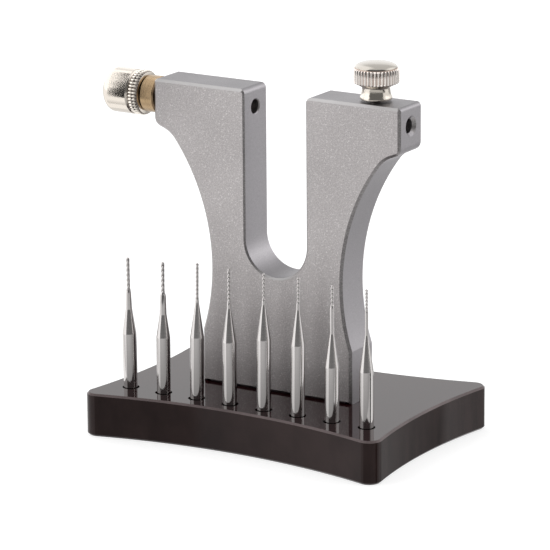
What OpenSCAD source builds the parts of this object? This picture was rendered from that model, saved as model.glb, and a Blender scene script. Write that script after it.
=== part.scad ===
// Bench drilling jig: a U-shaped frame on a block that racks eight shank drills.
// Millimetres. +Z up, front faces -Y, origin at the middle of the block's underside.

/* [Base block] */
// Width of the block between its sharp corners, before they are rounded
base_w = 78; // [70:0.2:100]
// Depth of the block between its sharp corners, before they are rounded
base_d = 54.5; // [48:0.1:80]
// Height of the block
base_h = 10; // [9:0.1:14]
// Radius of the hollow curve of each side
base_side_r = 134; // [110:1:240]
// Radius of the four rounded corners
base_corner_r = 2.9; // [2:0.1:6]
// Chamfer along the top and bottom edges
base_chamfer = 0.45; // [0.2:0.05:0.8]

/* [Frame] */
// Width across the two arm ends
frame_w = 64; // [59:0.2:70]
// Thickness, front to back
frame_t = 9.9; // [9:0.1:14]
// Height above the block
frame_h = 69; // [62:0.2:80]
// How far the frame stands behind the middle of the block
frame_back = 0.7; // [-2:0.1:3]
// Width of the slot between the arms
slot_w = 16; // [12:0.1:18]
// Depth of the slot, down to its round bottom
slot_depth = 42.3; // [32:0.1:46]
// Width at the waist
waist_w = 34.3; // [31:0.1:37]
// Height of the waist above the block
waist_h = 27.1; // [24:0.1:31]
// Radius of the hollow sides
side_r = 47.2; // [44:0.2:52]
// Width of the foot
foot_w = 39.1; // [38:0.1:43]
// Height of the flat end of each arm, down to the sloping underside
arm_end_h = 10.3; // [9.5:0.1:11.5]
// Slope of the arm's underside next to the end, in degrees
chin_angle = 21; // [17:1:26]
// Radius of the lower outer corner of each arm
arm_corner_r = 2.2; // [1:0.1:3]
// Radius where the sloping underside turns into the hollow side
chin_blend_r = 7; // [3:0.5:9]
// Radius of the upper outer corner of each arm
top_corner_r = 1; // [0.8:0.1:1.4]
// Radius of the two corners at the slot's mouth
mouth_r = 1.3; // [0.8:0.1:2]
// Chamfer along the front and back edges
frame_chamfer = 0.58; // [0.3:0.02:0.7]
// Chamfer along the slot's edges
slot_chamfer = 0.4; // [0.2:0.02:0.6]

/* [Cross bores] */
// Diameter of the shanks that the bores take
shank_d = 3.175; // [3:0.005:3.2]
// Running clearance round a shank, on the radius
shank_clearance = 0.06; // [0.02:0.01:0.1]
// Depth of the bore axis below the top of the arms
bore_drop = 4.7; // [4.2:0.1:5.2]
// Diameter of the countersink at the outer end of the clamp bore
countersink_d = 4.7; // [4:0.1:6]
// Chamfer at the other bore mouths
mouth_chamfer = 0.25; // [0.1:0.05:0.4]

/* [Spindle] */
// Diameter of the two knurled knobs
knob_d = 10.3; // [9.4:0.1:12]
// Length of the spindle knob, dome included
spindle_knob_l = 10.8; // [9:0.1:12.5]
// Length of the knob's knurled band
spindle_knurl_l = 2.4; // [1.6:0.1:3]
// Length of the knob's dome
spindle_dome_l = 3; // [2:0.1:4]
// Depth that the spindle is seated in its knob
spindle_seat = 6; // [3:0.1:7]
// Diameter of the brass sleeve
sleeve_d = 8.4; // [7:0.1:9]
// Length of the brass sleeve
sleeve_l = 3.6; // [3:0.1:6]
// Gap between the sleeve and the arm with the spindle as it is stored
sleeve_gap = 0.9; // [0.5:0.1:2.5]
// Distance of the spindle's tip from the slot wall, inside the bore
spindle_recess = 4; // [3:0.1:8]
// Length of the spindle's pointed tip
spindle_point = 1.2; // [0.6:0.1:2]

/* [Clamp screw] */
// Distance of the clamp screw from the end of its arm
clamp_inset = 8.8; // [7.5:0.1:10]
// Diameter of the clamp screw's thread
stud_d = 3; // [2.5:0.1:3.4]
// Running clearance round the thread, on the radius
stud_clearance = 0.05; // [0.02:0.01:0.1]
// Gap under the clamp screw's collar, unscrewed as it is stored
clamp_gap = 0.5; // [0.4:0.05:1.4]
// Height of the tapered collar
collar_h = 2.2; // [1.6:0.1:2.8]
// Diameter of the collar at its rim
collar_d = 7.2; // [6.6:0.1:7.6]
// Diameter of the neck
neck_d = 6; // [5:0.1:6.4]
// Height of the neck
neck_h = 0.7; // [0.4:0.1:1.4]
// Height of the chamfer under the knurl
under_knurl_h = 0.75; // [0.4:0.05:1]
// Height of the knurled band
clamp_knurl_h = 3.3; // [2.6:0.1:4]
// Height of the low dome
clamp_dome_h = 1.5; // [1:0.1:2]
// Depth of the stud inside the head
stud_seat = 4.5; // [3:0.1:5.5]
// Number of teeth of each knurl
knurl_teeth = 40; // [30:1:48]
// Depth of the knurl's teeth
knurl_depth = 0.28; // [0.15:0.01:0.35]

/* [Drills] */
// Length of a new drill
drill_l = 38.1; // [36:0.1:40]
// Distance between neighbouring drills
drill_pitch = 8.84; // [8:0.02:9]
// Distance of the drill row in front of the middle of the block
drill_row_y = 16.9; // [14:0.1:18]
// Diameter of the holes that the drills stand in
rack_hole_d = 3.9; // [3.8:0.05:4.2]
// Depth of the holes that the drills stand in
rack_hole_depth = 6.8; // [6:0.1:7.5]
// Half angle of the cone between shank and neck, in degrees
cone_angle = 8.3; // [7.5:0.1:10]

/* [Frame screws] */
// Thread diameter of the two screws that hold the frame
frame_screw_d = 4; // [3:0.1:4.5]
// Length of the frame screws, head included
frame_screw_l = 16; // [13:0.5:18]
// Diameter of the countersunk heads
frame_screw_head_d = 7.6; // [7:0.1:8.4]
// Distance between the frame screws
frame_screw_pitch = 22; // [16:0.5:26]
// How far the heads are sunk below the underside
frame_screw_sunk = 0.4; // [0.2:0.1:0.8]
// Hexagon key size, across the flats
frame_screw_key = 2.5; // [2:0.1:3]

/* [Hidden] */
$fn = 96;
cut = 1;              // how far a cutter reaches past a face
seat_gap = 0.02;      // between two pieces of one body that seat in each other
body_gap = 0.2;       // between two pieces that turn against each other
ease = 0.015;         // how far a rounded corner stands out of a grazing one
thread_spare = 1;     // how far the frame's tapped holes reach past the screws
drill_count = 8;

// Each drill in the row, from the left: how much longer it is than drill_l, diameter
// and length of its fluted tip, diameter of its neck, length of its shank, and how
// far it leans in its hole, in degrees.
more_l = [-1, -0.8, 0.1, 0, 0.1, 0.4, -0.2, 0];
flute_d = [0.74, 0.76, 0.6, 0.66, 0.62, 0.56, 0.6, 0.46];
flute_l = [7, 6.8, 7.6, 7.2, 5.6, 5.4, 4.4, 4.1];
drill_neck_d = [1.3, 1.4, 0.8, 0.9, 0.8, 0.8, 0.95, 0.76];
shank_l = [19.3, 19.7, 21, 21.1, 22.9, 22.9, 19.2, 19.4];
lean = [-0.5, 0.35, 0.85, 0, 0.45, 0.5, 0.25, 0.1];

top_z = base_h + frame_h;
bore_z = top_z - bore_drop;
bore_r = shank_d / 2 + shank_clearance;
arm_x = frame_w / 2;
slot_x = slot_w / 2;
sleeve_x = -arm_x - sleeve_gap;
knob_x = sleeve_x - sleeve_l - body_gap;
spindle_tip_x = -slot_x - spindle_recess;
clamp_x = arm_x - clamp_inset;
stud_hole_r = stud_d / 2 + stud_clearance;
collar_z = top_z + clamp_gap;
neck_z = collar_z + collar_h;
clamp_knurl_z = neck_z + neck_h + under_knurl_h;
stud_tip_z = bore_z + bore_r + body_gap;
rack_floor_z = base_h - rack_hole_depth;
frame_thread_depth = frame_screw_l + frame_screw_sunk - base_h + thread_spare;

// ---- Chamfered cutters. Each works on a plate of thickness t about z = 0. ----

// Removes a disc of radius r, and flares by c at both faces.
module disc_cutter(r, t, c) {
    cylinder(h = t + 2 * cut, r = r, center = true);
    for (side = [0, 1])
        mirror([0, 0, side])
            translate([0, 0, t / 2 - c])
                cylinder(h = c + cut, r1 = r, r2 = r + c + cut);
}

// A disc that keeps its rims chamfered when a corner is cut round it.
module disc_keeper(r, t, c) {
    cylinder(h = t - 2 * c, r = r, center = true);
    for (side = [0, 1])
        mirror([0, 0, side])
            translate([0, 0, t / 2 - c])
                cylinder(h = c + c / 2, r1 = r, r2 = r - c - c / 2);
}

// Removes everything at x > 0 for a run along y, and flares by c at both faces.
module wall_cutter(run, reach, t, c) {
    flare = c + cut;
    translate([0, run, 0])
        rotate([90, 0, 0])
            linear_extrude(height = run)
                polygon([
                    [reach, -t / 2 - cut], [-flare, -t / 2 - cut], [0, -t / 2 + c],
                    [0, t / 2 - c], [-flare, t / 2 + cut], [reach, t / 2 + cut]
                ]);
}

// Removes the sharp corner at tip, down to a round one of radius r about centre that
// meets its neighbours at a and b. The round one stands out by ease, so that it
// crosses its neighbours instead of grazing them.
module corner_cutter(a, tip, b, centre, r, t, c) {
    difference() {
        linear_extrude(height = t + 2 * cut, center = true)
            polygon([a + (a - centre) * ease, tip, b + (b - centre) * ease]);
        translate([centre.x, centre.y, 0])
            disc_keeper(r + ease, t, c);
    }
}

// Rounds an inner corner of a cutter: what lies past a disc of radius r about centre,
// between the directions of a and b, is left standing.
module inner_corner_keeper(a, b, centre, r, t, c) {
    difference() {
        linear_extrude(height = t + 2 * cut, center = true)
            polygon([centre, centre + 2 * (a - centre), centre + 2 * (b - centre)]);
        translate([centre.x, centre.y, 0])
            disc_cutter(r + ease, t, c);
    }
}

// ---- Base block ----

side_x = base_w / 2 + sqrt(pow(base_side_r, 2) - pow(base_d / 2, 2));
side_y = base_d / 2 + sqrt(pow(base_side_r, 2) - pow(base_w / 2, 2));
corner_reach = base_side_r + base_corner_r;
corner_half = norm([side_x, side_y]) / 2;
corner_lift = sqrt(pow(corner_reach, 2) - pow(corner_half, 2));
corner_c = [
    side_x / 2 - corner_lift * side_y / (2 * corner_half),
    side_y / 2 - corner_lift * side_x / (2 * corner_half)
];
corner_on_side = [side_x, 0] + (corner_c - [side_x, 0]) * base_side_r / corner_reach;
corner_on_front = [0, side_y] + (corner_c - [0, side_y]) * base_side_r / corner_reach;
corner_tip = [base_w / 2 + cut, base_d / 2 + cut];

module base_blank() {
    difference() {
        cube([base_w, base_d, base_h], center = true);
        for (side = [0, 1]) {
            mirror([side, 0, 0])
                translate([side_x, 0, 0])
                    disc_cutter(base_side_r, base_h, base_chamfer, $fn = 720);
            mirror([0, side, 0])
                translate([0, side_y, 0])
                    disc_cutter(base_side_r, base_h, base_chamfer, $fn = 720);
        }
        for (side = [0, 1], end = [0, 1])
            mirror([side, 0, 0])
                mirror([0, end, 0])
                    corner_cutter(corner_on_side, corner_tip, corner_on_front,
                        corner_c, base_corner_r, base_h, base_chamfer);
    }
}

module frame_screw_places() {
    for (side = [-1, 1])
        translate([side * frame_screw_pitch / 2, frame_back, 0])
            children();
}

module drill_place(i) {
    translate([(i - (drill_count - 1) / 2) * drill_pitch, -drill_row_y, rack_floor_z])
        children();
}

module base() {
    head_h = (frame_screw_head_d - frame_screw_d) / 2;
    color([0.16, 0.13, 0.13])
        difference() {
            translate([0, 0, base_h / 2])
                base_blank();
            for (i = [0 : drill_count - 1])
                drill_place(i)
                    cylinder(h = rack_hole_depth + cut, d = rack_hole_d);
            frame_screw_places() {
                translate([0, 0, -cut])
                    cylinder(h = base_h + 2 * cut, r = frame_screw_d / 2 + 4 * seat_gap);
                translate([0, 0, -cut])
                    cylinder(h = frame_screw_sunk + cut, d = frame_screw_head_d + 6 * seat_gap);
                translate([0, 0, frame_screw_sunk])
                    cylinder(h = head_h, d1 = frame_screw_head_d + 6 * seat_gap,
                        d2 = frame_screw_d + 6 * seat_gap);
            }
        }
}

// ---- Frame. Its outline is drawn flat, x across and y up, then stood upright. ----

chin_dir = [cos(chin_angle), sin(chin_angle)];
chin_up = [-sin(chin_angle), cos(chin_angle)];
chin_end = [arm_x, frame_h - arm_end_h];
hollow_c = [waist_w / 2 + side_r, waist_h];
foot_top = waist_h - sqrt(pow(side_r, 2) - pow(hollow_c.x - foot_w / 2, 2));

// Blend in the hollow between the chin and the hollow side.
blend_from = chin_end - chin_blend_r * chin_up - hollow_c;
blend_along = blend_from * chin_dir;
blend_back = sqrt(pow(blend_along, 2) - pow(norm(blend_from), 2)
    + pow(side_r - chin_blend_r, 2));
blend_c = hollow_c + blend_from - (blend_along + blend_back) * chin_dir;
blend_on_chin = blend_c + chin_blend_r * chin_up;
blend_on_hollow = hollow_c + (blend_c - hollow_c) * side_r / (side_r - chin_blend_r);

// Round corner between the chin and the arm's end.
corner_run = arm_corner_r * (1 - sin(chin_angle)) / cos(chin_angle);
arm_corner_c = chin_end + arm_corner_r * chin_up - corner_run * chin_dir;
arm_corner_on_chin = arm_corner_c - arm_corner_r * chin_up;
arm_corner_on_end = [arm_x, arm_corner_c.y];
arm_corner_tip = chin_end + [cut, -cut];

module side_cutters() {
    t = frame_t;
    c = frame_chamfer;
    // hollow side, below the chin
    difference() {
        intersection() {
            translate([hollow_c.x, hollow_c.y, 0])
                disc_cutter(side_r, t, c, $fn = 360);
            translate([chin_end.x, chin_end.y, 0])
                rotate([0, 0, chin_angle - 90])
                    translate([0, -frame_w, 0])
                        wall_cutter(2 * frame_w, 2 * frame_h, t, c);
        }
        inner_corner_keeper(blend_on_chin, blend_on_hollow, blend_c, chin_blend_r, t, c);
    }
    // side of the foot
    translate([foot_w / 2, -cut, 0])
        wall_cutter(foot_top + cut, frame_w, t, c);
    // chamfer under the side of the foot
    translate([foot_w / 2 - c, 0, 0])
        rotate([0, 0, -45])
            translate([-cut, -2 * cut, -t])
                cube([2 * cut + c * sqrt(2), 2 * cut, 2 * t]);
    corner_cutter(arm_corner_on_chin, arm_corner_tip, arm_corner_on_end,
        arm_corner_c, arm_corner_r, t, c);
    // upper outer corner
    corner_cutter([arm_x, frame_h - top_corner_r], [arm_x + cut, frame_h + cut],
        [arm_x - top_corner_r, frame_h],
        [arm_x - top_corner_r, frame_h - top_corner_r], top_corner_r, t, c);
    // corner at the slot's mouth
    corner_cutter([slot_x, frame_h - mouth_r], [slot_x - cut, frame_h + cut],
        [slot_x + mouth_r, frame_h],
        [slot_x + mouth_r, frame_h - mouth_r], mouth_r, t, slot_chamfer);
}

module slot_cutter() {
    bottom_y = frame_h - slot_depth + slot_x;
    translate([0, bottom_y, 0])
        disc_cutter(slot_x, frame_t, slot_chamfer);
    for (side = [0, 1])
        mirror([side, 0, 0])
            translate([slot_x, bottom_y, 0])
                mirror([1, 0, 0])
                    wall_cutter(slot_depth, slot_x + cut / 2, frame_t, slot_chamfer);
}

// Rectangle with all four edges along its length chamfered.
module chamfered_section(w, h, c) {
    polygon([
        [-w / 2 + c, -h / 2], [w / 2 - c, -h / 2], [w / 2, -h / 2 + c], [w / 2, h / 2 - c],
        [w / 2 - c, h / 2], [-w / 2 + c, h / 2], [-w / 2, h / 2 - c], [-w / 2, -h / 2 + c]
    ]);
}

module frame_blank() {
    difference() {
        intersection() {
            // top, bottom and their long edges
            rotate([90, 0, 90])
                linear_extrude(height = frame_w + 2 * cut, center = true)
                    translate([frame_h / 2, 0])
                        chamfered_section(frame_h, frame_t, frame_chamfer);
            // arm ends and their upright edges
            rotate([-90, 0, 0])
                linear_extrude(height = frame_h)
                    chamfered_section(frame_w, frame_t, frame_chamfer);
        }
        for (side = [0, 1])
            mirror([side, 0, 0])
                side_cutters();
        slot_cutter();
    }
}

// Bore along x from the slot wall to the arm's end, with its mouth chamfers.
module arm_bore(outer_mouth_r) {
    length = arm_x - slot_x;
    inner_mouth_r = bore_r + mouth_chamfer;
    rotate([0, 90, 0]) {
        translate([0, 0, slot_x - cut])
            cylinder(h = length + 2 * cut, r = bore_r);
        translate([0, 0, slot_x - cut])
            cylinder(h = mouth_chamfer + cut, r1 = inner_mouth_r + cut, r2 = bore_r);
        translate([0, 0, arm_x - (outer_mouth_r - bore_r)])
            cylinder(h = outer_mouth_r - bore_r + cut, r1 = bore_r, r2 = outer_mouth_r + cut);
    }
}

module frame() {
    color([0.6, 0.59, 0.6])
        difference() {
            translate([0, frame_back, base_h])
                rotate([90, 0, 0])
                    frame_blank();
            translate([0, frame_back, bore_z]) {
                arm_bore(countersink_d / 2);
                mirror([1, 0, 0])
                    arm_bore(bore_r + mouth_chamfer);
            }
            // hole for the clamp screw, from the top into the clamp bore
            translate([clamp_x, frame_back, bore_z])
                cylinder(h = bore_drop + cut, r = stud_hole_r);
            translate([clamp_x, frame_back, top_z - mouth_chamfer])
                cylinder(h = mouth_chamfer + cut, r1 = stud_hole_r,
                    r2 = stud_hole_r + mouth_chamfer + cut);
            // threads for the frame screws
            frame_screw_places()
                translate([0, 0, base_h - cut])
                    cylinder(h = frame_thread_depth + cut, r = frame_screw_d / 2 + 2 * seat_gap);
        }
}

module frame_screws() {
    head_h = (frame_screw_head_d - frame_screw_d) / 2;
    key_depth = 1.6;
    color([0.2, 0.2, 0.21])
        frame_screw_places()
            translate([0, 0, frame_screw_sunk])
                difference() {
                    union() {
                        cylinder(h = head_h, d1 = frame_screw_head_d, d2 = frame_screw_d);
                        cylinder(h = frame_screw_l, d = frame_screw_d);
                    }
                    translate([0, 0, -cut])
                        cylinder(h = key_depth + cut, d = frame_screw_key / cos(30), $fn = 6);
                }
}

// ---- Knobs ----

// Band of straight teeth along z, chamfered by foot below and by less than a tooth above.
module knurl_band(r, h, foot) {
    rim = knurl_depth * 0.7;
    intersection() {
        linear_extrude(height = h)
            polygon([
                for (i = [0 : 2 * knurl_teeth - 1])
                    (r - (i % 2) * knurl_depth)
                        * [cos(i * 180 / knurl_teeth), sin(i * 180 / knurl_teeth)]
            ]);
        rotate_extrude()
            polygon([[0, 0], [r - foot, 0], [r, foot], [r, h - rim], [r - rim, h], [0, h]]);
    }
}

// Smooth end of a knob: out of the band at a slope, along a barrel to a dome.
module knob_crown(r, slope, barrel, dome) {
    steps = 24;
    translate([0, 0, -slope / 4])
        rotate_extrude()
            polygon(concat(
                [[0, 0], [r - 2 * knurl_depth, 0], [r, slope]],
                [for (i = [0 : steps])
                    [r * cos(90 * i / steps), slope + barrel + dome * sin(90 * i / steps)]]
            ));
}

// ---- Spindle, its knob and its sleeve, built along z and laid along -x ----

module along_spindle(from_x) {
    translate([from_x, frame_back, bore_z])
        rotate([0, -90, 0])
            children();
}

module brass_sleeve() {
    edge = 0.3;
    r = sleeve_d / 2;
    color([0.79, 0.64, 0.42])
        along_spindle(sleeve_x)
            rotate_extrude()
                polygon([
                    [bore_r, 0], [r - edge, 0], [r, edge],
                    [r, sleeve_l - edge], [r - edge, sleeve_l], [bore_r, sleeve_l]
                ]);
}

module spindle() {
    length = spindle_tip_x - knob_x + spindle_seat;
    tip_r = 0.3;
    color([0.72, 0.72, 0.74])
        along_spindle(spindle_tip_x)
            rotate_extrude()
                polygon([
                    [0, 0], [tip_r, 0], [shank_d / 2, spindle_point],
                    [shank_d / 2, length], [0, length]
                ]);
}

module spindle_knob() {
    r = knob_d / 2;
    slope = 2 * knurl_depth;
    barrel = spindle_knob_l - spindle_knurl_l - spindle_dome_l - slope * 3 / 4;
    color([0.83, 0.81, 0.77])
        along_spindle(knob_x)
            difference() {
                union() {
                    knurl_band(r, spindle_knurl_l, 0.5);
                    translate([0, 0, spindle_knurl_l])
                        knob_crown(r, slope, barrel, spindle_dome_l);
                }
                translate([0, 0, -cut])
                    cylinder(h = spindle_seat + seat_gap + cut, r = shank_d / 2 + seat_gap);
            }
}

// ---- Clamp screw: a threaded stud and the head that turns it ----

module clamp_stud() {
    tip = 0.3;
    r = stud_d / 2;
    length = collar_z + stud_seat - stud_tip_z;
    color([0.7, 0.68, 0.64])
        translate([clamp_x, frame_back, stud_tip_z])
            rotate_extrude()
                polygon([[0, 0], [r - tip, 0], [r, tip], [r, length], [0, length]]);
}

module clamp_knob() {
    r = knob_d / 2;
    collar_r = collar_d / 2;
    neck_r = neck_d / 2;
    collar_rim = 0.35;
    lip = 0.2;
    knurl_z = collar_h + neck_h + under_knurl_h;
    dome_z = knurl_z + clamp_knurl_h;
    color([0.83, 0.81, 0.77])
        translate([clamp_x, frame_back, collar_z])
            difference() {
                union() {
                    // collar, neck and the chamfer under the knurl
                    rotate_extrude()
                        polygon([
                            [0, 0], [collar_r - lip, 0], [collar_r, lip],
                            [collar_r, collar_rim + lip], [neck_r, collar_h],
                            [neck_r, collar_h + neck_h], [r - 2 * knurl_depth, knurl_z],
                            [0, knurl_z]
                        ]);
                    translate([0, 0, knurl_z - lip])
                        knurl_band(r, clamp_knurl_h + lip, 2 * lip);
                    translate([0, 0, dome_z - lip])
                        knob_crown(r - lip / 2, lip, 0, clamp_dome_h);
                }
                translate([0, 0, -cut])
                    cylinder(h = stud_seat + body_gap + cut, r = stud_hole_r);
            }
}

// ---- Drills ----

module drill(i) {
    r = shank_d / 2;
    edge = 0.3;
    neck_r = drill_neck_d[i] / 2;
    flute_r = flute_d[i] / 2;
    cone_l = (r - neck_r) / tan(cone_angle);
    neck_start = shank_l[i] + cone_l;
    length = drill_l + more_l[i];
    flute_start = length - flute_l[i];
    run_out = 1.2;
    point = flute_r * 0.6;
    color([0.74, 0.74, 0.75])
        drill_place(i)
            translate([0, 0, body_gap / 2])
                rotate([0, lean[i], 0])
                    rotate_extrude()
                        polygon([
                            [0, 0], [r - edge, 0], [r, edge], [r, shank_l[i]],
                            [neck_r, neck_start], [neck_r, flute_start - run_out],
                            [flute_r, flute_start], [flute_r, length - point],
                            [0, length]
                        ]);
}

base();
frame();
frame_screws();
brass_sleeve();
spindle();
spindle_knob();
clamp_stud();
clamp_knob();
for (i = [0 : drill_count - 1])
    drill(i);
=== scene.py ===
"""Looks of the bench drilling jig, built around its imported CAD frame.

Metres, +Z up, front faces -Y.
"""

import math

import bmesh
import bpy
from mathutils import Matrix, Vector


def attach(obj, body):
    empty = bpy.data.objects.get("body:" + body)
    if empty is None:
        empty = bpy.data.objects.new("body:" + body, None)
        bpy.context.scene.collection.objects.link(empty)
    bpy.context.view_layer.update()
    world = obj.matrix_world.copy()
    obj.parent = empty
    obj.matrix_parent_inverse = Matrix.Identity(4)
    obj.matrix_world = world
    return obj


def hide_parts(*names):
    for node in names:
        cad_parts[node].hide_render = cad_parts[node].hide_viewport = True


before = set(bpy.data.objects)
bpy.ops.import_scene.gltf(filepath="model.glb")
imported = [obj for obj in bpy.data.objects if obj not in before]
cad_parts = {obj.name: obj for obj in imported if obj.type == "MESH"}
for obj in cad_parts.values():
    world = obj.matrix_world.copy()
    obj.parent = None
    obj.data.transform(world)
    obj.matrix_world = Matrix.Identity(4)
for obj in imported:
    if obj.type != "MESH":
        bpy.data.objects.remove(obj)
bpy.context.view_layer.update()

MM = 0.001

# Camera, at the photograph's viewing angle, with its angles in degrees
CAMERA_TARGET = Vector((-3.37, 1.01, 35.81)) * MM
CAMERA_AZIMUTH = 31.63
CAMERA_ELEVATION = 15.0
CAMERA_ROLL = -0.41
CAMERA_DISTANCE = 899.5 * MM
CAMERA_LENS_MM = 261.0
CAMERA_SENSOR_MM = 36.0

# Places and sizes of the construction, in millimetres
AXIS_Y = 0.7            # both cross bores and the clamp screw
BORE_Z = 74.3
BLOCK_TOP_Z = 10.0
KNOB_X = -36.7          # open end of the spindle knob
CLAMP_X = 23.2
COLLAR_Z = 79.5         # underside of the clamp screw's collar
STUD_TIP_Z = 76.15
STUD_LENGTH = 7.85
KNOB_R = 5.15
KNURL_TEETH = 40
KNURL_DEPTH = 0.32
KNURL_RUN_OUT = 0.25
DRILL_PITCH = 8.84
DRILL_ROW_Y = -16.9
DRILL_BOTTOM_Z = 3.3
DRILL_LENGTH = 38.1
SHANK_R = 1.5875
CONE_SLOPE = math.tan(math.radians(8.3))

# Each drill from the left: extra length, diameter and length of its fluted tip,
# lower and upper diameter of its neck, length of its shank, lean in degrees
DRILLS = [
    (-1.0, 0.82, 7.0, 1.50, 1.16, 19.3, -0.50),
    (-0.8, 0.82, 6.8, 1.60, 1.38, 19.7, 0.35),
    (0.1, 0.70, 7.6, 0.80, 0.80, 21.0, 0.85),
    (0.0, 0.70, 7.2, 0.90, 0.90, 21.1, 0.00),
    (0.1, 0.66, 5.6, 0.80, 0.80, 22.9, 0.45),
    (0.4, 0.62, 5.4, 0.80, 0.80, 22.9, 0.50),
    (-0.2, 0.68, 4.4, 0.95, 0.95, 19.2, 0.25),
    (0.0, 0.58, 4.1, 0.76, 0.76, 19.4, 0.10),
]

# Colours used more than once
NICKEL = (0.68, 0.625, 0.56)
STEEL = (0.62, 0.595, 0.585)
BLACK = (0, 0, 0)


# ---- Node helpers ----

class Nodes:
    """Adds nodes to a tree. Every value is a number, a colour or another node's output."""

    def __init__(self, tree):
        self.tree = tree

    def connect(self, socket, value):
        """Links an output to a socket, or sets a constant on it."""
        if isinstance(value, bpy.types.NodeSocket):
            self.tree.links.new(value, socket)
        else:
            socket.default_value = value

    def node(self, kind, **inputs):
        """A new node, its inputs named with an underscore for each space."""
        made = self.tree.nodes.new(kind)
        for name, value in inputs.items():
            self.connect(made.inputs[name.replace("_", " ")], value)
        return made

    def math(self, operation, *values):
        """Result of a math node."""
        made = self.tree.nodes.new("ShaderNodeMath")
        made.operation = operation
        for socket, value in zip(made.inputs, values):
            self.connect(socket, value)
        return made.outputs["Value"]

    def ramp(self, value, low, high, from_low=0.0, from_high=1.0, kind="LINEAR"):
        """From low, where value is from_low, to high, where it is from_high."""
        made = self.node("ShaderNodeMapRange", Value=value, From_Min=from_low, From_Max=from_high,
                         To_Min=low, To_Max=high)
        made.interpolation_type = kind
        made.clamp = True
        return made.outputs["Result"]

    def between(self, value, low, high, soft, kind="LINEAR"):
        """1 where value lies between low and high, with soft ends."""
        return self.math("MULTIPLY", self.ramp(value, 0, 1, low - soft, low + soft, kind),
                         self.ramp(value, 1, 0, high - soft, high + soft, kind))

    def mix(self, factor, low, high, kind="RGBA"):
        """Between two colours, or between two numbers if kind is FLOAT."""
        made = self.tree.nodes.new("ShaderNodeMix")
        made.data_type = kind
        for name, value in (("Factor", factor), ("A", low), ("B", high)):
            is_color = isinstance(value, (tuple, list))
            self.connect(made.inputs[name], (*value, 1) if is_color else value)
        return made.outputs["Result"]


class Material(Nodes):
    """A procedural material with a Principled shader, built node by node."""

    def __init__(self, name, color, metallic, roughness, **sockets):
        self.material = bpy.data.materials.new(name)
        self.material.use_nodes = True
        super().__init__(self.material.node_tree)
        self.shader = self.tree.nodes["Principled BSDF"]
        self.drive("Base Color", (*color, 1))
        self.drive("Metallic", metallic)
        self.drive("Roughness", roughness)
        for socket, value in sockets.items():
            self.drive(socket.replace("_", " "), value)
        self.coords = self.node("ShaderNodeTexCoord").outputs["Object"]

    def drive(self, socket, value):
        """Sets or links an input of the shader."""
        self.connect(self.shader.inputs[socket], value)

    def facing(self):
        """X, Y and Z of the surface's direction."""
        normal = self.node("ShaderNodeNewGeometry").outputs["Normal"]
        return self.node("ShaderNodeSeparateXYZ", Vector=normal).outputs

    def stretched(self, scale, offset=(0, 0, 0)):
        """Object coordinates stretched along the axes, for grain that runs one way."""
        return self.node("ShaderNodeMapping", Vector=self.coords, Scale=scale,
                         Location=offset).outputs["Vector"]

    def noise(self, scale, detail=2, roughness=0.5, coords=None):
        """Noise, mostly from 0.3 to 0.7, of scale waves in a metre."""
        return self.node("ShaderNodeTexNoise", Vector=coords or self.coords, Scale=scale,
                         Detail=detail, Roughness=roughness).outputs["Fac"]

    def bump(self, height, distance, strength=1.0):
        """Fine relief, distance metres high."""
        made = self.node("ShaderNodeBump", Height=height, Distance=distance, Strength=strength)
        self.drive("Normal", made.outputs["Normal"])


# ---- Materials ----

def blasted_aluminium():
    """Anodised aluminium plate: blasted faces with a tight sparkle and smoother cut sides, with
    painted shade on the cut faces on top and on the upright edges, and a painted highlight on
    the edges along the top."""
    face_dark, face_pale, glint = (0.347, 0.327, 0.327), (0.53, 0.502, 0.502), (0.84, 0.82, 0.81)
    cut_side, shaded_cut_top = (0.45, 0.432, 0.45), (0.245, 0.235, 0.245)
    top_edge_highlight, upright_edge_shade = (0.41, 0.40, 0.40), (0.25, 0.24, 0.24)

    m = Material("blasted_aluminium", (0.40, 0.38, 0.38), 1.0, 0.42)
    grain = m.noise(3300, detail=2, roughness=0.7)
    sparkle = m.ramp(m.noise(4100, detail=1), 0, 0.5, 0.60, 0.72)
    face = m.mix(m.ramp(grain, 0, 1, 0.3, 0.7), face_dark, face_pale)
    face = m.mix(sparkle, face, glint)

    facing = m.facing()
    toward_y = m.math("ABSOLUTE", facing["Y"])
    # Painted shade: the cut faces on top are darker than the cut sides
    cut = m.mix(m.ramp(facing["Z"], 0, 1, 0.5, 0.95), cut_side, shaded_cut_top)
    cut = m.mix(m.ramp(grain, 0.16, 0, 0.3, 0.7), cut, BLACK)
    body = m.mix(m.ramp(toward_y, 0, 1, 0.3, 0.55), cut, face)

    on_edge = m.between(toward_y, 0.6, 0.82, 0.04)
    upright = m.ramp(m.math("ABSOLUTE", facing["Z"]), 1, 0, 0.15, 0.4)
    # Painted shade on the upright chamfers, varied by the grain
    upright_shade_mask = m.math("MULTIPLY", m.math("MULTIPLY", on_edge, upright),
                  m.ramp(grain, 1, 0.4, 0.35, 0.65))
    # Painted highlight on the chamfers along the top
    top_highlight_mask = m.math("MULTIPLY", on_edge, m.ramp(facing["Z"], 0, 1, 0.45, 0.65))
    body = m.mix(top_highlight_mask, body, top_edge_highlight)
    m.drive("Base Color", m.mix(upright_shade_mask, body, upright_edge_shade))
    m.drive("Roughness", m.ramp(m.noise(90, detail=3), 0.38, 0.47, 0.3, 0.7))
    m.bump(grain, 0.00005, 0.6)
    return m.material


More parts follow.
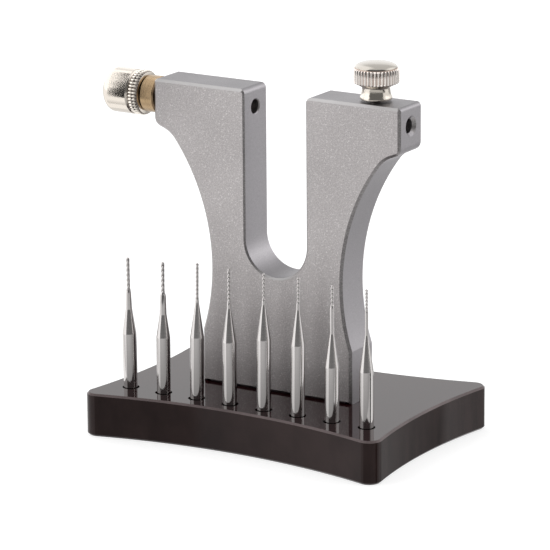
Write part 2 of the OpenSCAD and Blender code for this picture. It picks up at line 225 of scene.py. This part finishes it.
def black_acrylic():
    """Polished brown-black acrylic with faint polishing marks, a little haze, a redder top and a
    painted highlight along the top edges."""
    dark, pale = (0.009, 0.005, 0.0045), (0.023, 0.014, 0.0130)
    top, top_edge_highlight = (0.014, 0.003, 0.0035), (0.15, 0.12, 0.12)

    m = Material("black_acrylic", (0.011, 0.004, 0.004), 0.0, 0.035, IOR=1.27,
                 Specular_IOR_Level=0.5, Specular_Tint=(1.0, 0.87, 0.88, 1))
    clouds = m.noise(55, detail=4, roughness=0.6)
    streaks = m.noise(420, detail=3, coords=m.stretched((0.25, 1, 0.12)))
    body = m.mix(m.ramp(m.math("ADD", clouds, streaks), 0, 1, 0.75, 1.2), dark, pale)
    upward = m.facing()["Z"]
    body = m.mix(m.ramp(upward, 0, 1, 0.9, 0.98), body, top)
    on_edge = m.between(upward, 0.45, 0.9, 0.05)
    # Painted highlight on the chamfers along the top edges, varied by the clouds
    edge_highlight_mask = m.math("MULTIPLY", on_edge, m.ramp(clouds, 0.5, 1, 0.35, 0.65))
    m.drive("Base Color", m.mix(edge_highlight_mask, body, top_edge_highlight))
    m.drive("Roughness", m.ramp(clouds, 0.02, 0.055, 0.35, 0.75))
    m.bump(m.noise(900, detail=2), 0.000001, 0.3)
    return m.material


def nickel(name, band_low, band_high, ridge_highlight, valley_shade, crown_shade):
    """Nickel plate over turned metal. The teeth between two heights, in mm, have painted colours:
    a painted highlight on the ridges and painted shade in the valleys. The part over them has a
    colour of its own, which is painted shade on the clamp head."""
    m = Material(name, NICKEL, 1.0, 0.16)
    place = m.node("ShaderNodeSeparateXYZ", Vector=m.coords).outputs
    flat = m.node("ShaderNodeCombineXYZ", X=place["X"], Y=place["Y"])
    from_axis = m.node("ShaderNodeVectorMath")
    from_axis.operation = "LENGTH"
    m.connect(from_axis.inputs[0], flat.outputs["Vector"])
    root = m.ramp(from_axis.outputs["Value"], 1, 0, (KNOB_R - KNURL_DEPTH) * MM,
                  (KNOB_R - 0.1) * MM)
    in_band = m.between(place["Z"], band_low * MM, band_high * MM, 0.02 * MM)
    over_band = m.ramp(place["Z"], 0, 1, (band_high + 0.1) * MM, (band_high + 0.2) * MM)
    # Over the band, the painted shade colour given for that part
    plain = m.mix(over_band, NICKEL, crown_shade)
    # In the band, a painted highlight on the ridges and painted shade in the valleys
    m.drive("Base Color", m.mix(in_band, plain, m.mix(root, ridge_highlight, valley_shade)))
    satin = m.noise(420, detail=4, roughness=0.65)
    m.drive("Roughness", m.ramp(satin, 0.06, 0.15, 0.3, 0.7))
    m.bump(m.noise(4200, detail=2, roughness=0.7), 0.00002, 0.6)
    return m.material


def turned_brass():
    """Brass with fine turning lines round its axis, which lies along X."""
    m = Material("turned_brass", (0.40, 0.285, 0.17), 1.0, 0.26)
    lines = m.noise(2400, detail=2, coords=m.stretched((1, 0.01, 0.01)))
    tarnish = m.ramp(m.noise(300, detail=4), 0, 1, 0.35, 0.7)
    m.drive("Base Color", m.mix(tarnish, (0.42, 0.30, 0.18), (0.35, 0.245, 0.14)))
    m.drive("Roughness", m.ramp(lines, 0.20, 0.34, 0.3, 0.7))
    m.bump(lines, 0.000006, 0.5)
    return m.material


def ground_steel(name, axis_stretch):
    """Ground steel with fine marks and some dark rings round the axis, along which axis_stretch
    keeps the full scale."""
    m = Material(name, STEEL, 1.0, 0.2)
    lines = m.noise(5200, detail=3, coords=m.stretched(axis_stretch))
    apart = m.noise(900, detail=1, coords=m.stretched(axis_stretch, (3, 0, 0)))
    rings = m.ramp(apart, 0, 1, 0.70, 0.76)
    ground = m.mix(m.ramp(lines, 0, 1, 0.3, 0.7), [0.95 * c for c in STEEL], STEEL)
    m.drive("Base Color", m.mix(m.math("MULTIPLY", rings, 0.4), ground, [0.45 * c for c in STEEL]))
    m.drive("Roughness", m.ramp(lines, 0.08, 0.16, 0.3, 0.7))
    m.bump(lines, 0.000003, 0.4)
    return m.material


def black_oxide_steel():
    """Screws with a black oxide finish."""
    m = Material("black_oxide_steel", (0.05, 0.05, 0.055), 0.9, 0.4)
    m.drive("Roughness", m.ramp(m.noise(900, detail=3), 0.32, 0.5, 0.3, 0.7))
    return m.material


def floor_paint():
    """White, lightly self-lit, so that shadows on it stay faint."""
    m = Material("studio_floor", (0.5, 0.5, 0.5), 0.0, 0.8, Emission_Color=(1, 1, 1, 1),
                 Emission_Strength=0.68, Specular_IOR_Level=0.1)
    m.drive("Roughness", m.ramp(m.noise(30), 0.75, 0.85))
    return m.material


def dress(node, material):
    """Gives a CAD node its material."""
    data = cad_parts[node].data
    data.materials.clear()
    data.materials.append(material)


# ---- Turned pieces, in millimetres ----

def lathe(name, profile, segments, cut_at):
    """A closed mesh turned round Z from (radius, height) points, first and last on the axis.

    cut_at(radius, height, angle) is how deep a tooth, thread or flute cuts there.
    """
    smooth_up_to = math.radians(35)
    shape = bmesh.new()
    rings = []
    for radius, height in profile:
        if radius == 0:
            rings.append([shape.verts.new((0, 0, height * MM))] * segments)
            continue
        ring = []
        for step in range(segments):
            angle = 2 * math.pi * step / segments
            r = radius - cut_at(radius, height, angle)
            point = Vector((r * math.cos(angle), r * math.sin(angle), height)) * MM
            ring.append(shape.verts.new(point))
        rings.append(ring)
    for low, high in zip(rings, rings[1:]):
        for step in range(segments):
            after = (step + 1) % segments
            corners = [low[step], low[after], high[after], high[step]]
            shape.faces.new(list(dict.fromkeys(corners)))
    bmesh.ops.recalc_face_normals(shape, faces=shape.faces)
    mesh = bpy.data.meshes.new(name)
    shape.to_mesh(mesh)
    shape.free()
    mesh.polygons.foreach_set("use_smooth", [True] * len(mesh.polygons))
    mesh.set_sharp_from_angle(angle=smooth_up_to)
    return mesh


def add_piece(mesh, material, place, body, node):
    """Puts a mesh in the node's place, riding on the body."""
    mesh.materials.append(material)
    piece = bpy.data.objects.new(mesh.name, mesh)
    bpy.context.scene.collection.objects.link(piece)
    piece.matrix_world = place
    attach(piece, body)
    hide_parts(node)


def at(x, y, z):
    """Matrix that moves a piece to a place."""
    return Matrix.Translation(Vector((x, y, z)) * MM)


def arc(radius, height, rise, steps):
    """Quarter ellipse from (radius, height) up to the axis."""
    turns = [math.pi / 2 * step / steps for step in range(steps)]
    side = [(radius * math.cos(t), height + rise * math.sin(t)) for t in turns]
    return side + [(0, height + rise)]


def knurl_cut(low, high):
    """Teeth that run out at both ends of a band between two heights, on the knob's outside only."""
    outside = KNOB_R - 0.8

    def cut(radius, height, angle):
        if radius < outside or not low < height < high:
            return 0
        phase = (angle * KNURL_TEETH / (2 * math.pi)) % 1
        from_ridge = 0.5 - abs(phase - 0.5)
        # Flat ridges and valleys of 0.14 of a tooth each, with sides of 0.36 between them
        groove = min(1, max(0, from_ridge / 0.36 - 0.2))
        reach = min(1, (height - low) / KNURL_RUN_OUT, (high - height) / KNURL_RUN_OUT)
        return KNURL_DEPTH * groove * reach
    return cut


def knob_mesh(name, profile, low, high):
    """A knob with a knurled band between two heights."""
    return lathe(name, profile, KNURL_TEETH * 10, knurl_cut(low, high))


def spindle_knob():
    """Knob of the spindle: hole, knurled band, groove, barrel and dome."""
    low, high = 0.05, 2.45
    # Painted highlight on the ridges and painted shade in the valleys; the part over them stays
    # nickel
    ridge_highlight, valley_shade, crown_shade = (0.80, 0.75, 0.68), (0.20, 0.17, 0.15), NICKEL
    hole_r, hole_depth = SHANK_R + 0.02, 6.0
    dome_rise = 2.998  # just inside the construction's box

    hole = [(0, hole_depth), (hole_r, hole_depth), (hole_r, 0.2), (SHANK_R + 0.2, 0)]
    band = [(KNOB_R - 0.5, 0), (KNOB_R - 0.35, 0.06), (KNOB_R - 0.05, 0.42), (KNOB_R, 0.55),
            (KNOB_R, 1.3), (KNOB_R, 2.1), (KNOB_R - 0.04, 2.2), (KNOB_R - 0.4, 2.45)]
    groove = [(KNOB_R - 0.5, 2.5), (KNOB_R - 0.5, 2.56), (KNOB_R - 0.38, 2.64),
              (KNOB_R - 0.08, 2.86), (KNOB_R, 3.02)]
    barrel = [(KNOB_R, 3.1), (KNOB_R, 7.5)]
    profile = hole + band + groove + barrel + arc(KNOB_R, 7.8, dome_rise, 36)
    place = at(KNOB_X, AXIS_Y, BORE_Z) @ Matrix.Rotation(-math.pi / 2, 4, "Y")
    add_piece(knob_mesh("knob_of_spindle", profile, low, high),
              nickel("nickel_spindle_knob", low, high, ridge_highlight, valley_shade, crown_shade),
              place, "hand_spindle", "spindle_knob")


def clamp_knob():
    """Head of the clamp screw: hole, tapered collar, neck, knurled band, groove and low dome."""
    low, high = 3.45, 6.98
    # Painted highlight on the ridges, painted shade in the valleys and darker painted shade over
    # them
    ridge_highlight, valley_shade, crown_shade = (0.95, 0.89, 0.84), (0.70, 0.61, 0.56), (0.46, 0.43, 0.39)
    hole_r, hole_depth = 1.55, 4.7

    hole = [(0, hole_depth), (hole_r, hole_depth), (hole_r, 0.15), (1.7, 0)]
    collar = [(3.42, 0), (3.54, 0.05), (3.6, 0.18), (3.6, 0.42), (3.56, 0.56), (3.45, 0.78),
              (3.36, 1.0), (3.29, 1.25), (3.23, 1.55), (3.18, 1.9), (3.15, 2.25)]
    neck = [(3.14, 2.6), (3.22, 2.76), (KNOB_R - 0.5, 3.58), (KNOB_R - 0.38, 3.6)]
    band = [(KNOB_R - 0.1, 3.7), (KNOB_R, 3.82), (KNOB_R, 5.0), (KNOB_R, 6.6),
            (KNOB_R - 0.05, 6.7), (KNOB_R - 0.32, 6.95)]
    groove = [(KNOB_R - 0.4, 6.98), (KNOB_R - 0.48, 6.9), (KNOB_R - 0.54, 6.9),
              (KNOB_R - 0.5, 7.05)]
    profile = hole + collar + neck + band + groove + arc(KNOB_R - 0.45, 7.1, 1.3, 30)
    add_piece(knob_mesh("head_of_clamp_screw", profile, low, high),
              nickel("nickel_clamp_head", low, high, ridge_highlight, valley_shade, crown_shade),
              at(CLAMP_X, AXIS_Y, COLLAR_Z), "clamp_head", "clamp_knob")


def clamp_stud(steel):
    """Stud of the clamp screw. Its right-handed thread runs out over a pitch at each end."""
    pitch, depth, radius, tip = 0.5, 0.27, 1.5, 0.3
    step = pitch / 10

    def cut(_, height, angle):
        phase = (height / pitch - angle / (2 * math.pi)) % 1
        reach = min(1, height / pitch, (STUD_LENGTH - height) / pitch)
        # Full depth over a fifth of the pitch, with sides up to sharp crests
        return depth * reach * min(1, max(0, 1.25 - 2.5 * abs(phase - 0.5)))

    heights = [tip + step * count for count in range(int((STUD_LENGTH - tip) / step))]
    profile = [(0, 0), (radius - tip, 0)] + [(radius, height) for height in heights]
    profile += [(radius - 0.05, STUD_LENGTH), (0, STUD_LENGTH)]
    mesh = lathe("threaded_stud", profile, 48, cut)
    add_piece(mesh, steel, at(CLAMP_X, AXIS_Y, STUD_TIP_Z), "stud", "clamp_stud")


def drill(number, steel):
    """A drill: round shank, cone, neck and a tip with two right-handed flutes."""
    more, flute_d, flute_l, neck_low_d, neck_d, shank_l, lean = DRILLS[number - 1]
    flute_r, neck_low_r, neck_r = flute_d / 2, neck_low_d / 2, neck_d / 2
    run_out, run_out_rings = 1.2, 12  # where the neck turns into the fluted tip
    flute_depth = 0.45                # share of the radius
    lead = 2.8 * flute_d
    point = flute_r * 0.6
    ring_step = 0.08
    near = 0.1                        # rings this close to a corner keep the shading flat

    length = DRILL_LENGTH + more
    flute_start = length - flute_l
    neck_start = shank_l + (SHANK_R - neck_low_r) / CONE_SLOPE
    neck_slope = (neck_low_r - neck_r) / (flute_start - run_out - neck_start)

    def cut(radius, height, angle):
        reach = min(1, max(0, (height - flute_start + run_out) / run_out))
        wave = math.cos(2 * (angle - 2 * math.pi * height / lead))
        return flute_depth * min(radius, flute_r) * reach * max(0, wave) ** 1.5

    chamfer = [(SHANK_R - 0.3, 0), (SHANK_R - 0.04, 0.24), (SHANK_R, 0.32), (SHANK_R, 0.5)]
    shank = [(SHANK_R, shank_l - near), (SHANK_R, shank_l)]
    cone = [(SHANK_R - near * CONE_SLOPE, shank_l + near),
            (neck_low_r + near * CONE_SLOPE, neck_start - near), (neck_low_r, neck_start)]
    neck = [(neck_low_r - near * neck_slope, neck_start + near), (neck_r, flute_start - run_out)]
    neck += [(neck_r + (flute_r - neck_r) * part / run_out_rings,
              flute_start - run_out * (1 - part / run_out_rings))
             for part in range(1, run_out_rings + 1)]
    fluted = [(flute_r, flute_start + ring_step * count)
              for count in range(1, int((flute_l - point) / ring_step))]
    profile = [(0, 0)] + chamfer + shank + cone + neck + fluted
    profile += [(flute_r, length - point), (0, length)]
    mesh = lathe(f"fluted_drill_{number}", profile, 40, cut)

    middle = (len(DRILLS) + 1) / 2
    place = (at((number - middle) * DRILL_PITCH, DRILL_ROW_Y, DRILL_BOTTOM_Z)
             @ Matrix.Rotation(math.radians(lean), 4, "Y"))
    add_piece(mesh, steel, place, f"drill_{number}_body", f"drill_{number}")


# ---- Studio ----

def direction_at(azimuth, elevation):
    """Unit vector at an azimuth from -Y towards +X and an elevation over the floor, in degrees."""
    a, e = math.radians(azimuth), math.radians(elevation)
    return Vector((math.sin(a) * math.cos(e), -math.cos(a) * math.cos(e), math.sin(e)))


def make_camera():
    """The photograph's camera, far away with a long lens."""
    back = direction_at(CAMERA_AZIMUTH, CAMERA_ELEVATION)
    data = bpy.data.cameras.new("camera")
    data.lens = CAMERA_LENS_MM
    data.sensor_width = CAMERA_SENSOR_MM
    data.clip_start = 0.05
    data.clip_end = 20
    camera = bpy.data.objects.new("camera", data)
    bpy.context.scene.collection.objects.link(camera)
    turn = back.to_track_quat("Z", "Y").to_matrix().to_4x4()
    roll = Matrix.Rotation(math.radians(CAMERA_ROLL), 4, "Z")
    place = Matrix.Translation(CAMERA_TARGET + back * CAMERA_DISTANCE)
    camera.matrix_world = place @ turn @ roll
    bpy.context.scene.camera = camera


def make_floor():
    """A wide pale floor. The world's lower panels stand for it in reflections."""
    bpy.ops.mesh.primitive_plane_add(size=8)
    floor = bpy.context.object
    floor.name = "studio_floor"
    floor.data.materials.append(floor_paint())
    floor.visible_glossy = False


def add_flag(name, corners, fade=None):
    """A black card that only reflections see, corners in mm.

    fade is the y where it is clear, the y where it is darkest, and its alpha there.
    """
    mesh = bpy.data.meshes.new(name)
    mesh.from_pydata([Vector(corner) * MM for corner in corners], [], [range(len(corners))])
    card = Material(name, BLACK, 0.0, 1.0, Specular_IOR_Level=0.0)
    if fade:
        clear_y, dark_y, alpha = fade
        y = card.node("ShaderNodeSeparateXYZ", Vector=card.coords).outputs["Y"]
        card.drive("Alpha", card.ramp(y, 0, alpha, clear_y * MM, dark_y * MM))
    mesh.materials.append(card.material)
    piece = bpy.data.objects.new(name, mesh)
    bpy.context.scene.collection.objects.link(piece)
    piece.visible_camera = False
    piece.visible_diffuse = False
    piece.visible_shadow = False
    piece.visible_transmission = False


def add_flags():
    """What darkens the mirrored surroundings: a shade before the block, and flags by the knob."""
    shade_z = BLOCK_TOP_Z + 0.2
    block_side = [(-110, -26.4), (-39, -26.4), (-34, -24.9), (-22, -22.4), (-11, -21.0),
                  (0, -20.6), (11, -21.0), (22, -22.4), (34, -24.9), (39, -26.4), (110, -26.4)]
    corners = [(-110, -90)] + block_side + [(110, -90)]
    add_flag("shade_in_front", [(x, y, shade_z) for x, y in corners], fade=(-62, -21, 0.42))
    add_flag("flag_by_knob", [(-61, -30, 60), (-52.5, -30, 60), (-52.5, -30, 87), (-57, -30, 101),
                              (-67, -30, 125), (-76, -30, 125), (-65.5, -30, 101),
                              (-60.5, -30, 87)])
    add_flag("flag_over_knob", [(-67, -30, 125), (-76, -30, 125), (-72, -9, 125), (-73, 16, 125),
                                (-67, 16, 125), (-66, -9, 125)])


# What polished metal mirrors: radiance, azimuths and their softness, elevations and their softness,
# in degrees, each panel over the ones before it
PANELS = [
    (1.38, -178, -118, 8, 2, 30, 6),     # backdrop
    (1.70, -135, -26, 7, -6, 72, 9),     # large light at the left
    (1.70, 105, 165, 8, 12, 52, 8),      # light at the right, behind
    (0.17, -24, 86, 2, -12, 66, 12),     # dark side, behind the camera
    (1.32, -108, -24, 4, -100, -2, 2),   # lit floor at the left
    (0.95, -200, -108, 4, -100, -2, 2),  # floor behind, at the left
    (0.65, -24, 86, 2, -100, -2, 2),     # floor in front
    (0.06, 86, 105, 2, -100, -2, 2),     # gap between floor and right light
    (1.10, 105, 144, 2, -100, -2, 2),    # lit floor at the right
    (0.50, 144, 200, 2, -100, -2, 2),    # floor behind
]


def make_world():
    """White surroundings with the panels in them, which are all the light besides the floor's."""
    world = bpy.data.worlds.new("studio")
    bpy.context.scene.world = world
    world.use_nodes = True
    w = Nodes(world.node_tree)
    toward = w.node("ShaderNodeTexCoord").outputs["Generated"]
    split = w.node("ShaderNodeSeparateXYZ", Vector=toward).outputs
    forward = w.math("MULTIPLY", split["Y"], -1)
    azimuth = w.math("DEGREES", w.math("ARCTAN2", split["X"], forward))
    elevation = w.math("DEGREES", w.math("ARCSINE", split["Z"]))

    radiance = 1.0
    for level, west, east, side_soft, bottom, top, height_soft in PANELS:
        panel = w.math("MULTIPLY", w.between(azimuth, west, east, side_soft, "SMOOTHSTEP"),
                       w.between(elevation, bottom, top, height_soft, "SMOOTHSTEP"))
        radiance = w.mix(panel, radiance, level, "FLOAT")
    background = world.node_tree.nodes["Background"]
    w.connect(background.inputs["Strength"], radiance)
    w.connect(background.inputs["Color"], (1, 1, 1, 1))


def make_lights():
    """The world's light, shown as it is."""
    make_world()
    bpy.context.scene.view_settings.view_transform = "Standard"


# ---- Dressing the parts ----

def dress_all():
    """Gives every node its material or its finer piece."""
    upright_steel = ground_steel("ground_steel_upright", (0.01, 0.01, 1))
    dress("base", black_acrylic())
    dress("frame", blasted_aluminium())
    dress("frame_screws", black_oxide_steel())
    dress("brass_sleeve", turned_brass())
    dress("spindle", ground_steel("ground_steel_spindle", (1, 0.01, 0.01)))
    spindle_knob()
    clamp_knob()
    clamp_stud(upright_steel)
    for number in range(1, len(DRILLS) + 1):
        drill(number, upright_steel)


make_camera()
make_floor()
add_flags()
make_lights()
dress_all()
